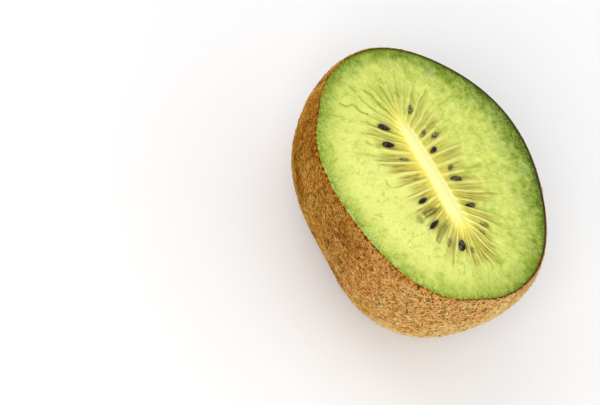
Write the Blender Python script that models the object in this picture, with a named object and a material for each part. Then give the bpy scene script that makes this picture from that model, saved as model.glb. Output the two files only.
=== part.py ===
"""Half of a kiwi fruit, cut lengthwise, lying on its furry skin with the cut face up.

The fruit is one piece, so it is one solid: the body with its skin, green flesh and pale core,
and the seeds that show in the cut, fused on. Sizes are in metres and angles in radians.

Frame: X along the core, Y across it, Z up. The origin is the middle of the bounding box's
underside, where the fruit rests on a small flat spot.

A place on the cut face is also given as an angle round the core and a reach, which is 0 at the
edge of the core and 1 where the flesh meets the skin. The walls between the seed chambers are
lines of equal angle.
"""

import math

import bmesh
import bpy
from mathutils import Matrix, Vector, noise
from mathutils.geometry import intersect_point_line

# The whole fruit, before the cut
FRUIT_LENGTH = 0.0622
FRUIT_WIDTH = 0.0488
BELOW_WIDEST = 0.0231    # from the widest level down to the lowest skin
ABOVE_WIDEST = 0.0073    # from the widest level up to the cut
FULLNESS = 2.3           # exponent of the side profile: 2 is an ellipse, more is fuller
TAPER = -0.033           # gain in width towards +X, as a share
FLAT_SPOT_RISE = 0.00035  # how much of the lowest skin is pressed flat

# Uneven growth: number of lobes round the fruit, their size as a share of the radius, and the
# phase of the wave. The rim's lobes run all the way down, the flank's grow below the cut.
RIM_LOBES = ((3, 0.0095, math.radians(-69)), (5, 0.011, math.radians(165)))
FLANK_LOBES = ((3, 0.059, math.radians(-150)),)

# Skin
SKIN_THICKNESS = 0.00036
SKIN_LIP = 0.00012       # how far the cut edge of the skin stands over the flesh
LUMP_HEIGHT = 0.00022
LUMP_LENGTH = 0.0075

# Stem scar at the -X end, a low button with a hollow middle
SCAR_RADIUS = 0.0027
SCAR_TOP_SHARE = 0.75
SCAR_RISE = 0.0006
SCAR_HOLLOW = 0.0004
SCAR_WALL_SHARE = 0.35
SCAR_SEGMENTS = 24

# Core, seen as a narrow band in the cut
CORE_LENGTH = 0.0264
CORE_WIDTH = 0.0029
CORE_RISE = 0.0003
CORE_TURN = math.radians(4.8)
CORE_MIDDLE = Vector((0.0003, -0.00045))
CORE_CREST_LENGTH_SHARE = 0.94
CORE_CREST_WIDTH_SHARE = 0.45

# Seed chambers round the core
CHAMBERS = 42
CHAMBER_DEPTH = 0.0004
CHAMBER_INNER_REACH = 0.06
CHAMBER_DEEP_REACH = 0.28
CHAMBER_OUTER_REACH = 0.66
SAMPLES_PER_CHAMBER = 4

# Seeds
SEED_LENGTH = 0.0024
SEED_WIDTH = 0.00145
SEED_THICKNESS = 0.0010
SEED_TIP_SHARE = 0.45    # width of the pointed end as a share of the blunt end
PROUD_RISE = 0.0005      # top of a seed that stands out of its chamber
SUNKEN_RISE = 0.00014    # top of a seed that only swells the flesh over it

# Each seed's place along and across the fruit, from the middle of the cut face in millimetres,
# and the way that it points in degrees
PROUD_SEEDS = (
    (-11.7, -6.1, 52), (-7.7, -6.9, 62), (-4.5, 2.5, 298), (2.9, 4.1, 245),
    (6.0, -5.7, 117), (9.1, 4.1, 260), (11.6, -5.9, 120), (17.2, -2.2, 157),
)
SUNKEN_SEEDS = (
    (-14.5, 1.9, 324), (-3.8, -4.9, 75), (-8.6, 2.1, 311), (-7.6, 4.5, 295),
    (0.2, 4.3, 303), (14.1, 5.1, 240), (15.5, 3.8, 230), (18.6, -0.3, 180),
    (15.9, -4.3, 140), (1.0, -4.4, 80),
)

# Fineness of the mesh
SKIN_LEVELS = 16
REACH_STEPS = (0.0, 0.05, 0.12, 0.2, 0.3, 0.42, 0.55, 0.7, 0.86, 1.0)
SEED_SEGMENTS = 8
SEED_RINGS = 5
SMOOTH_BELOW = math.radians(40)
SHORTEST_EDGE = 0.00002

TAU = 2 * math.pi
MILLIMETRE = 0.001
CUT_HEIGHT = ABOVE_WIDEST + BELOW_WIDEST - FLAT_SPOT_RISE
SEARCH_STEPS = 1440


def smooth_step(low, high, value):
    """Rise smoothly from 0 at low to 1 at high."""
    share = min(max((value - low) / (high - low), 0.0), 1.0)
    return share * share * (3 - 2 * share)


def lobes(angle, waves):
    """Sum of growth waves at an angle round the fruit."""
    return sum(size * math.cos(count * angle - phase) for count, size, phase in waves)


def skin_point(angle, level, inset=0.0):
    """Point of the skin at an angle, on a level measured from the fruit's widest one."""
    roundness = (1 - (abs(level) / BELOW_WIDEST) ** FULLNESS) ** (1 / FULLNESS)
    depth = (ABOVE_WIDEST - level) / (ABOVE_WIDEST + BELOW_WIDEST)
    growth = roundness * (1 + lobes(angle, RIM_LOBES) + depth * lobes(angle, FLANK_LOBES))
    half_length = FRUIT_LENGTH / 2 * growth - inset
    half_width = FRUIT_WIDTH / 2 * (1 + TAPER * math.cos(angle)) * growth - inset
    height = level + BELOW_WIDEST - FLAT_SPOT_RISE
    return Vector((half_length * math.cos(angle), half_width * math.sin(angle), height))


def core_point(angle, length_share=1.0, width_share=1.0):
    """Point of the core's long oval outline on the cut face."""
    along = CORE_LENGTH / 2 * length_share * math.cos(angle)
    across = CORE_WIDTH / 2 * width_share * math.sin(angle)
    offset = CORE_MIDDLE + Matrix.Rotation(CORE_TURN, 2) @ Vector((along, across))
    return Vector((offset.x, offset.y, CUT_HEIGHT))


def face_point(angle, reach):
    """Point of the level cut face between the core, reach 0, and the skin, reach 1."""
    rim = skin_point(angle, ABOVE_WIDEST, inset=SKIN_THICKNESS)
    return core_point(angle).lerp(rim, reach)


def place_on_face(along, across):
    """Angle and reach of a place on the cut face, taken from the ray that passes nearest."""
    place = Vector((along, across, CUT_HEIGHT))
    closest = math.inf
    for step in range(SEARCH_STEPS):
        angle = TAU * step / SEARCH_STEPS
        foot, reach = intersect_point_line(place, face_point(angle, 0.0), face_point(angle, 1.0))
        miss = (foot - place).length
        if 0 <= reach <= 1 and miss < closest:
            closest = miss
            found = (angle, reach)
    return found


def chamber_middles():
    """Angles of the chambers' middles: evenly spaced, then drawn onto the seeds in them."""
    middles = [TAU * (index + 0.5) / CHAMBERS for index in range(CHAMBERS)]
    for along, across, _ in SUNKEN_SEEDS + PROUD_SEEDS:
        angle, _ = place_on_face(along * MILLIMETRE, across * MILLIMETRE)
        middles[int(angle / TAU * CHAMBERS)] = angle
    return middles


def sample_angles():
    """Angles of the cut face's points, and each one's phase across its chamber."""
    middles = chamber_middles()
    walls = []
    for index, middle in enumerate(middles):
        before = middles[index - 1] - (TAU if index == 0 else 0.0)
        walls.append((before + middle) / 2)
    walls.append(walls[0] + TAU)
    angles = []
    phases = []
    for start, end in zip(walls, walls[1:]):
        for sample in range(SAMPLES_PER_CHAMBER):
            phase = sample / SAMPLES_PER_CHAMBER
            angles.append(start + (end - start) * phase)
            phases.append(phase)
    return angles, phases


def chamber_dip(phase, reach):
    """Depth of a seed chamber under the cut: none on its walls, most along its middle."""
    across = 0.5 - 0.5 * math.cos(TAU * phase)
    inner = smooth_step(0.0, CHAMBER_INNER_REACH, reach)
    outer = 1 - smooth_step(CHAMBER_DEEP_REACH, CHAMBER_OUTER_REACH, reach)
    return CHAMBER_DEPTH * across * inner * outer


def skin_levels():
    """Levels of the skin from the cut down to the flat spot, closer where it curves in."""
    def lean(level):
        share = (abs(level) / BELOW_WIDEST) ** (FULLNESS / 2)
        return math.copysign(math.asin(share), -level)

    top = lean(ABOVE_WIDEST)
    bottom = lean(FLAT_SPOT_RISE - BELOW_WIDEST)
    levels = []
    for step in range(SKIN_LEVELS + 1):
        turn = top + (bottom - top) * step / SKIN_LEVELS
        depth = BELOW_WIDEST * abs(math.sin(turn)) ** (2 / FULLNESS)
        levels.append(math.copysign(depth, -turn))
    return levels


def lump(point, share):
    """Move a point of the skin in or out, by smooth noise that follows its place."""
    outward = Vector((point.x, point.y, 0.0)).normalized()
    return point + outward * LUMP_HEIGHT * share * noise.noise(point / LUMP_LENGTH)


def add_ring(mesh, points):
    """Add a closed ring of vertices."""
    return [mesh.verts.new(point) for point in points]


def join_rings(mesh, upper, lower, material):
    """Fill the band between two rings with as many vertices, facing out and up."""
    for index, corner in enumerate(upper):
        after = (index + 1) % len(upper)
        face = mesh.faces.new((corner, lower[index], lower[after], upper[after]))
        face.material_index = material


def join_to_half_ring(mesh, upper, lower, material):
    """Fill the band down to a ring with half as many vertices."""
    for index, corner in enumerate(lower):
        start = upper[2 * index]
        middle = upper[2 * index + 1]
        end = upper[(2 * index + 2) % len(upper)]
        after = lower[(index + 1) % len(lower)]
        for corners in ((start, corner, middle), (middle, corner, after), (middle, after, end)):
            mesh.faces.new(corners).material_index = material


def close_core(mesh, crest, material):
    """Fill the crest's oval with a strip of faces that run across the core."""
    count = len(crest)
    half = count // 2
    mesh.faces.new((crest[0], crest[1], crest[count - 1])).material_index = material
    for index in range(1, half - 1):
        corners = (crest[index], crest[index + 1], crest[count - index - 1], crest[count - index])
        mesh.faces.new(corners).material_index = material
    mesh.faces.new((crest[half - 1], crest[half], crest[half + 1])).material_index = material


def add_cut_face(mesh, angles, phases):
    """Model the cut face from the core's crest out to the flesh's edge, and return that edge."""
    crest = add_ring(mesh, [
        core_point(angle, CORE_CREST_LENGTH_SHARE, CORE_CREST_WIDTH_SHARE)
        + Vector((0.0, 0.0, CORE_RISE))
        for angle in angles
    ])
    close_core(mesh, crest, CORE)
    inner = crest
    for step, reach in enumerate(REACH_STEPS):
        ring = add_ring(mesh, [
            face_point(angle, reach) - Vector((0.0, 0.0, chamber_dip(phase, reach)))
            for angle, phase in zip(angles, phases)
        ])
        join_rings(mesh, inner, ring, CORE if step == 0 else FLESH)
        inner = ring
    return inner


def add_skin(mesh, angles, flesh_edge):
    """Model the skin from the flesh's edge over its lip and down to the flat spot."""
    lip_height = Vector((0.0, 0.0, SKIN_LIP))
    lip = add_ring(mesh, [
        skin_point(angle, ABOVE_WIDEST, inset=SKIN_THICKNESS / 2) + lip_height
        for angle in angles
    ])
    rim = add_ring(mesh, [skin_point(angle, ABOVE_WIDEST) for angle in angles])
    join_rings(mesh, flesh_edge, lip, SKIN)
    join_rings(mesh, lip, rim, SKIN)

    below = angles[::2]
    levels = skin_levels()
    upper = rim
    for step, level in enumerate(levels[1:], start=1):
        share = math.sin(math.pi * step / SKIN_LEVELS)
        ring = add_ring(mesh, [lump(skin_point(angle, level), share) for angle in below])
        if step == 1:
            join_to_half_ring(mesh, upper, ring, SKIN)
        else:
            join_rings(mesh, upper, ring, SKIN)
        upper = ring
    mesh.faces.new(list(reversed(upper))).material_index = SKIN


def make_seed(along, across, direction, rise, name):
    """Model one seed: a flattened drop that lies in its chamber, point towards the core."""
    place = Vector((along, across)) * MILLIMETRE
    _, reach = place_on_face(*place)
    bpy.ops.mesh.primitive_uv_sphere_add(segments=SEED_SEGMENTS, ring_count=SEED_RINGS, radius=0.5)
    seed = bpy.context.object
    seed.name = name
    lie_down = Matrix.Rotation(math.pi / 2, 4, "Y")
    size = Matrix.Diagonal((SEED_LENGTH, SEED_WIDTH, SEED_THICKNESS, 1.0))
    seed.data.transform(lie_down)
    for vertex in seed.data.vertices:
        blunt = 0.5 - vertex.co.x
        taper = SEED_TIP_SHARE + (1 - SEED_TIP_SHARE) * math.sqrt(max(blunt, 0.0))
        vertex.co.y *= taper
        vertex.co.z *= taper
    seed.data.transform(Matrix.Rotation(math.radians(direction), 4, "Z") @ size)
    bed = CUT_HEIGHT - chamber_dip(0.5, reach)
    seed.location = (place.x, place.y, bed + rise - SEED_THICKNESS / 2)
    seed.data.materials.append(seed_material)
    return seed


def make_stem_scar():
    """Model the round scar that the stalk left at the -X end, half sunk in the skin."""
    depth = 4 * SCAR_RISE
    top_radius = SCAR_RADIUS * SCAR_TOP_SHARE
    mesh = bmesh.new()
    bmesh.ops.create_cone(mesh, cap_ends=True, segments=SCAR_SEGMENTS, depth=depth,
                          radius1=SCAR_RADIUS, radius2=top_radius)
    top = max(mesh.faces, key=lambda face: face.calc_center_median().z)
    bmesh.ops.inset_region(mesh, faces=[top], thickness=top_radius * SCAR_WALL_SHARE)
    bmesh.ops.translate(mesh, verts=top.verts, vec=(0.0, 0.0, -SCAR_HOLLOW))
    data = bpy.data.meshes.new("stem_scar")
    mesh.to_mesh(data)
    mesh.free()
    data.transform(Matrix.Rotation(-math.pi / 2, 4, "Y"))
    data.materials.append(skin_material)
    scar = bpy.data.objects.new("stem_scar", data)
    scar.location = skin_point(math.pi, 0.0)
    scar.location.x += depth / 2 - SCAR_RISE
    return scar


def make_material(name, colour, roughness, subsurface=0.0):
    """Make a material from its colour, roughness and share of light let through."""
    material = bpy.data.materials.new(name)
    material.use_nodes = True
    material.diffuse_color = (*colour, 1.0)
    shader = material.node_tree.nodes["Principled BSDF"]
    shader.inputs["Base Color"].default_value = (*colour, 1.0)
    shader.inputs["Roughness"].default_value = roughness
    shader.inputs["Metallic"].default_value = 0.0
    shader.inputs["Subsurface Weight"].default_value = subsurface
    shader.inputs["Subsurface Scale"].default_value = 0.004
    return material


def make_body():
    """Model the fruit without its seeds, as one closed mesh."""
    angles, phases = sample_angles()
    mesh = bmesh.new()
    flesh_edge = add_cut_face(mesh, angles, phases)
    add_skin(mesh, angles, flesh_edge)
    data = bpy.data.meshes.new("kiwi_half")
    mesh.to_mesh(data)
    mesh.free()
    for material in (skin_material, flesh_material, core_material, seed_material):
        data.materials.append(material)
    body = bpy.data.objects.new("kiwi_half", data)
    bpy.context.scene.collection.objects.link(body)
    return body


def fuse_small_parts(body):
    """Join the seeds and the stem scar to the body by one Boolean union on their collection."""
    small_parts = bpy.data.collections.new("small_parts")
    bpy.context.scene.collection.children.link(small_parts)
    small_parts.objects.link(make_stem_scar())
    kinds = ((PROUD_SEEDS, PROUD_RISE, "seed_proud"), (SUNKEN_SEEDS, SUNKEN_RISE, "seed_sunken"))
    for seeds, rise, name in kinds:
        for along, across, direction in seeds:
            seed = make_seed(along, across, direction, rise, name)
            for collection in list(seed.users_collection):
                collection.objects.unlink(seed)
            small_parts.objects.link(seed)
    union = body.modifiers.new("small_parts", "BOOLEAN")
    union.operation = "UNION"
    union.operand_type = "COLLECTION"
    union.collection = small_parts
    union.solver = "EXACT"
    union.material_mode = "TRANSFER"
    bpy.ops.object.select_all(action="DESELECT")
    bpy.context.view_layer.objects.active = body
    body.select_set(True)
    bpy.ops.object.modifier_apply(modifier=union.name)
    for small_part in list(small_parts.objects):
        bpy.data.objects.remove(small_part, do_unlink=True)
    bpy.data.collections.remove(small_parts)


def merge_slivers(body):
    """Take out the hair-thin faces that the union leaves where a seed meets the flesh."""
    mesh = bmesh.new()
    mesh.from_mesh(body.data)
    bmesh.ops.remove_doubles(mesh, verts=mesh.verts, dist=SHORTEST_EDGE)
    bmesh.ops.dissolve_degenerate(mesh, edges=mesh.edges, dist=SHORTEST_EDGE)
    mesh.to_mesh(body.data)
    mesh.free()


def centre_on_origin(body):
    """Slide the mesh level, so that its bounding box is centred over the origin."""
    along = [vertex.co.x for vertex in body.data.vertices]
    across = [vertex.co.y for vertex in body.data.vertices]
    middle = Vector((min(along) + max(along), min(across) + max(across), 0.0)) / 2
    body.data.transform(Matrix.Translation(-middle))


for leftover in list(bpy.data.objects):
    bpy.data.objects.remove(leftover, do_unlink=True)

SKIN, FLESH, CORE = range(3)
skin_material = make_material("kiwi_skin", (0.30, 0.16, 0.06), 0.85)
flesh_material = make_material("kiwi_flesh", (0.45, 0.62, 0.10), 0.35, subsurface=0.4)
core_material = make_material("kiwi_core", (0.93, 0.90, 0.42), 0.45, subsurface=0.3)
seed_material = make_material("kiwi_seed", (0.012, 0.006, 0.008), 0.25)

kiwi = make_body()
fuse_small_parts(kiwi)
merge_slivers(kiwi)
centre_on_origin(kiwi)
kiwi.data.shade_smooth()
kiwi.data.set_sharp_from_angle(angle=SMOOTH_BELOW)
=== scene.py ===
"""Looks of the kiwi fruit half: its moist green flesh, its seeds, its skin and the fuzz on it.

Frame: X along the core, Y across it, Z up, in metres. The half lies on its skin at the origin
with the cut face up. A place on the cut face is also given as an angle round the core and a
reach, which is 0 at the edge of the core and 1 where the flesh meets the skin.
"""

import logging
import math
from dataclasses import dataclass, field
from enum import Enum

import bpy
import numpy as np
from mathutils import Matrix, Vector, noise


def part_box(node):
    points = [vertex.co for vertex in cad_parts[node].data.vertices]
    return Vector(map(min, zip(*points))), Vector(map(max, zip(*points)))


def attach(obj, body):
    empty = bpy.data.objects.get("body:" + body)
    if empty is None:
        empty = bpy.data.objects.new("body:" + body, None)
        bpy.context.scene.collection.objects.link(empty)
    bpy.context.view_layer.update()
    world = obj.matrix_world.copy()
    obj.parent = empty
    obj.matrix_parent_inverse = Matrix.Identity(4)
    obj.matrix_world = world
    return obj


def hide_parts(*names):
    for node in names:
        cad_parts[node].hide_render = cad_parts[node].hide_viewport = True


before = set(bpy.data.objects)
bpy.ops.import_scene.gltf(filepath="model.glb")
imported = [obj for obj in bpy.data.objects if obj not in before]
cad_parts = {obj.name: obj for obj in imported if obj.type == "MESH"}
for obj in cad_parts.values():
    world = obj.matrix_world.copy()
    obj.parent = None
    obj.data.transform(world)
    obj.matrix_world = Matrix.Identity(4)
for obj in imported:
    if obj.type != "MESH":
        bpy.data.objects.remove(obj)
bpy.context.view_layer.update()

log = logging.getLogger("kiwi")

NODE = "kiwi_half"
BODY = "root"
TAU = 2 * math.pi
MM = 0.001
SEAM_GAP = 0.000001

Colour = tuple[float, float, float]
Rows = np.ndarray
Socket = bpy.types.NodeSocket
Piece = bpy.types.Object


def tone(red: int, green: int, blue: int) -> Colour:
    """Turn a screen colour into the light values that shaders use.

    Args:
        red: Red from 0 to 255.
        green: Green from 0 to 255.
        blue: Blue from 0 to 255.

    Returns:
        The same colour as linear values from 0 to 1.
    """
    shares = (red / 255, green / 255, blue / 255)
    return tuple(s / 12.92 if s <= 0.04045 else ((s + 0.055) / 1.055) ** 2.4 for s in shares)


def rise(low: float, high: float, value: Rows) -> Rows:
    """Rise smoothly from 0 at low to 1 at high.

    Args:
        low: Value where the rise starts.
        high: Value where it ends.
        value: Values to map.

    Returns:
        The mapped values.
    """
    share = np.clip((value - low) / (high - low), 0.0, 1.0)
    return share * share * (3 - 2 * share)


def facing(angle: Rows, side: float) -> Rows:
    """Tell how far an angle faces a side given in degrees, from 1 to -1 for the opposite side."""
    return np.cos(angle - math.radians(side))


def cloudy(places: Rows) -> Rows:
    """Read smooth noise from -1 to 1 at each row of coordinates."""
    return np.array([noise.noise(Vector(row)) for row in places])


def turned(offset: Rows, turn: float) -> tuple[Rows, Rows]:
    """Split offsets into their parts along and across a direction, given in radians."""
    cosine, sine = math.cos(turn), math.sin(turn)
    return offset[:, 0] * cosine + offset[:, 1] * sine, offset[:, 1] * cosine - offset[:, 0] * sine


def deselect_all() -> None:
    """Leave nothing selected, so that an operator meets only what is added next."""
    bpy.ops.object.select_all(action="DESELECT")


def select_only(piece: Piece) -> None:
    """Select one piece and make it the active one.

    Args:
        piece: The piece.
    """
    deselect_all()
    piece.select_set(True)
    bpy.context.view_layer.objects.active = piece


def read_places(mesh: bpy.types.Mesh) -> Rows:
    """Read the places of a mesh's vertices.

    Args:
        mesh: The mesh.

    Returns:
        One row of coordinates for each vertex.
    """
    places = np.empty(len(mesh.vertices) * 3)
    mesh.vertices.foreach_get("co", places)
    return places.reshape(-1, 3)


def flat_sheet(name: str, columns: int, rows: int) -> tuple:
    """Lay out a flat sheet of square faces, to be wrapped round the fruit.

    Args:
        name: Name of the piece.
        columns: How many faces go round the fruit.
        rows: How many go from one pole to the other.

    Returns:
        The piece, and the column and the row of each vertex.
    """
    deselect_all()
    bpy.ops.mesh.primitive_grid_add(x_subdivisions=columns, y_subdivisions=rows, size=1.0)
    piece = bpy.context.object
    piece.name = name
    share = read_places(piece.data) + 0.5
    return piece, np.round(share[:, 0] * columns), np.round(share[:, 1] * rows)


def new_mesh_piece(name: str, places: Rows, faces: list) -> Piece:
    """Make a piece from places and faces that were copied from a modelled template.

    Args:
        name: Name of the piece.
        places: One row of coordinates for each vertex.
        faces: Vertex numbers of each face.

    Returns:
        The new object, linked to the scene.
    """
    mesh = bpy.data.meshes.new(name)
    mesh.from_pydata(places.tolist(), [], faces)
    mesh.update()
    piece = bpy.data.objects.new(name, mesh)
    bpy.context.scene.collection.objects.link(piece)
    return piece


def paint(mesh: bpy.types.Mesh, **patterns: Rows) -> None:
    """Store one number, or one row of three, for each vertex, for the piece's material to read.

    Args:
        mesh: Mesh of the piece.
        patterns: Values under the names that the material reads.
    """
    for name, values in patterns.items():
        values = np.asarray(values, dtype=np.float32)
        if values.ndim == 1:
            mesh.attributes.new(name, "FLOAT", "POINT").data.foreach_set("value", values)
        else:
            layer = mesh.attributes.new(name, "FLOAT_VECTOR", "POINT")
            layer.data.foreach_set("vector", values.ravel())


def close_shell(piece: Piece) -> None:
    """Merge a wrapped sheet's seam and poles, and turn its faces outwards.

    Args:
        piece: The piece.
    """
    select_only(piece)
    bpy.ops.object.mode_set(mode="EDIT")
    bpy.ops.mesh.select_all(action="SELECT")
    bpy.ops.mesh.remove_doubles(threshold=SEAM_GAP)
    bpy.ops.mesh.select_all(action="SELECT")
    bpy.ops.mesh.normals_make_consistent(inside=False)
    bpy.ops.object.mode_set(mode="OBJECT")
    bpy.ops.object.shade_smooth()


def declare(piece: Piece, replaces: bool = False) -> None:
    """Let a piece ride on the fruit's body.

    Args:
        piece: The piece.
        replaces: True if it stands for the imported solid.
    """
    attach(piece, BODY)
    if replaces:
        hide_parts(NODE)
    log.info("%s: %d faces", piece.name, len(piece.data.polygons))


class Lie(Enum):
    """How a seed lies in its chamber."""

    PROUD = "proud"
    SUNKEN = "sunken"


@dataclass(frozen=True)
class Seed:
    """One seed's place on the cut face in millimetres, the way it points in degrees, its size."""

    lie: Lie
    along: float
    across: float
    pointing: float
    length: float
    width: float
    strength: float = 1.0


SEEDS = tuple(Seed(Lie.PROUD, *numbers) for numbers in (
    (-11.75, -5.85, 58, 2.7, 1.5), (-7.75, -6.75, 68, 2.6, 1.5), (-4.4, 2.45, 302, 2.2, 1.2),
    (2.95, 4.15, 249, 2.5, 1.6), (6.0, -5.45, 112, 2.3, 1.3), (9.25, 4.15, 264, 2.6, 1.2),
    (11.5, -5.7, 117, 2.9, 1.2), (17.2, -1.95, 157, 2.6, 1.6),
)) + tuple(Seed(Lie.SUNKEN, *numbers) for numbers in (
    (-14.5, 1.9, 324, 2.5, 1.2, 0.85), (-3.8, -4.9, 75, 2.3, 0.9, 0.7),
    (-8.6, 2.1, 311, 2.1, 1.1, 0.65), (-7.6, 4.5, 295, 2.6, 1.1, 0.8),
    (0.2, 4.3, 303, 1.9, 1.0, 0.7), (14.1, 5.1, 240, 2.0, 1.3, 0.6),
    (15.5, 3.8, 230, 1.8, 1.0, 0.4), (18.6, -0.3, 180, 1.6, 0.9, 0.55),
    (15.9, -4.3, 140, 2.2, 1.2, 0.5), (1.0, -4.4, 80, 1.9, 1.0, 0.35),
))


@dataclass(frozen=True)
class Mark:
    """A thin line in the flesh: its points in millimetres, its width and its strength."""

    points: tuple
    width: float = 0.2
    strength: float = 0.6


SPLITS = (
    Mark(((-19.0, -13.0), (-18.0, -12.0), (-18.0, -11.1), (-18.3, -10.4), (-17.4, -9.8),
          (-16.2, -9.4), (-15.6, -8.6), (-15.4, -8.2)), 0.22, 0.75),
    Mark(((-16.0, 15.5), (-15.2, 13.8), (-15.6, 12.0), (-14.6, 10.5), (-14.2, 9.0)), 0.25, 0.45),
    Mark(((-22.3, -9.0), (-21.3, -8.6), (-20.8, -8.1)), 0.25, 0.6),
    Mark(((-19.8, -8.0), (-18.9, -7.9), (-17.8, -7.3), (-16.7, -6.6), (-15.4, -5.8)), 0.22, 0.6),
    Mark(((-20.8, -6.2), (-19.5, -5.2), (-17.9, -4.7), (-16.2, -3.9), (-14.5, -3.1),
          (-13.0, -2.5)), 0.3, 0.8),
    Mark(((-21.0, -2.3), (-20.0, -2.2), (-18.1, -2.0), (-16.3, -1.8), (-14.3, -1.3)), 0.3, 0.7),
    Mark(((-18.9, 0.3), (-18.0, 0.9)), 0.4, 0.6),
    Mark(((-18.0, 4.1), (-15.8, 3.4)), 0.3, 0.5),
    Mark(((-14.0, -9.2), (-12.8, -8.5), (-12.0, -7.5)), 0.22, 0.55),
    Mark(((-9.1, -11.3), (-8.2, -10.1), (-7.3, -9.1)), 0.35, 0.5),
    Mark(((-7.2, -14.5), (-6.4, -12.2), (-5.4, -9.8), (-5.1, -7.4)), 0.3, 0.4),
    Mark(((-6.1, -21.6), (-6.5, -20.4), (-7.0, -19.3)), 0.25, 0.5),
    Mark(((-10.8, -19.2), (-8.7, -19.3)), 0.25, 0.5),
    Mark(((-17.2, -16.9), (-16.6, -15.6), (-15.9, -14.1)), 0.22, 0.4),
    Mark(((-0.1, -11.2), (1.0, -11.3), (1.4, -11.0)), 0.22, 0.5),
    Mark(((-10.3, 3.9), (-9.3, 4.3), (-9.5, 5.4)), 0.3, 0.5),
    Mark(((1.5, 7.4), (1.2, 9.2), (1.1, 10.9)), 0.5, 0.45),
    Mark(((5.6, 5.0), (5.5, 6.9)), 0.35, 0.4),
    Mark(((17.2, 1.5), (18.8, 1.8), (20.0, 2.2)), 0.3, 0.6),
    Mark(((22.3, 3.4), (23.0, 4.2)), 0.4, 0.6),
    Mark(((15.8, 3.7), (17.1, 4.2), (17.9, 4.5)), 0.25, 0.5),
    Mark(((7.1, 9.2), (8.3, 10.2), (8.6, 12.4)), 0.3, 0.35),
)
EMPTY_BEDS = (
    Mark(((8.2, -3.6), (8.4, -4.9), (8.6, -6.6), (9.6, -6.7), (9.2, -5.1), (8.8, -3.9)), 0.24, 0.85),
    Mark(((8.9, -8.1), (10.1, -9.0), (10.5, -7.9), (9.8, -7.0)), 0.3, 0.5),
    Mark(((11.2, -2.7), (12.9, -5.0), (14.9, -6.9), (15.5, -6.5), (14.4, -5.2), (12.3, -2.8)),
         0.24, 0.6),
)


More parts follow.
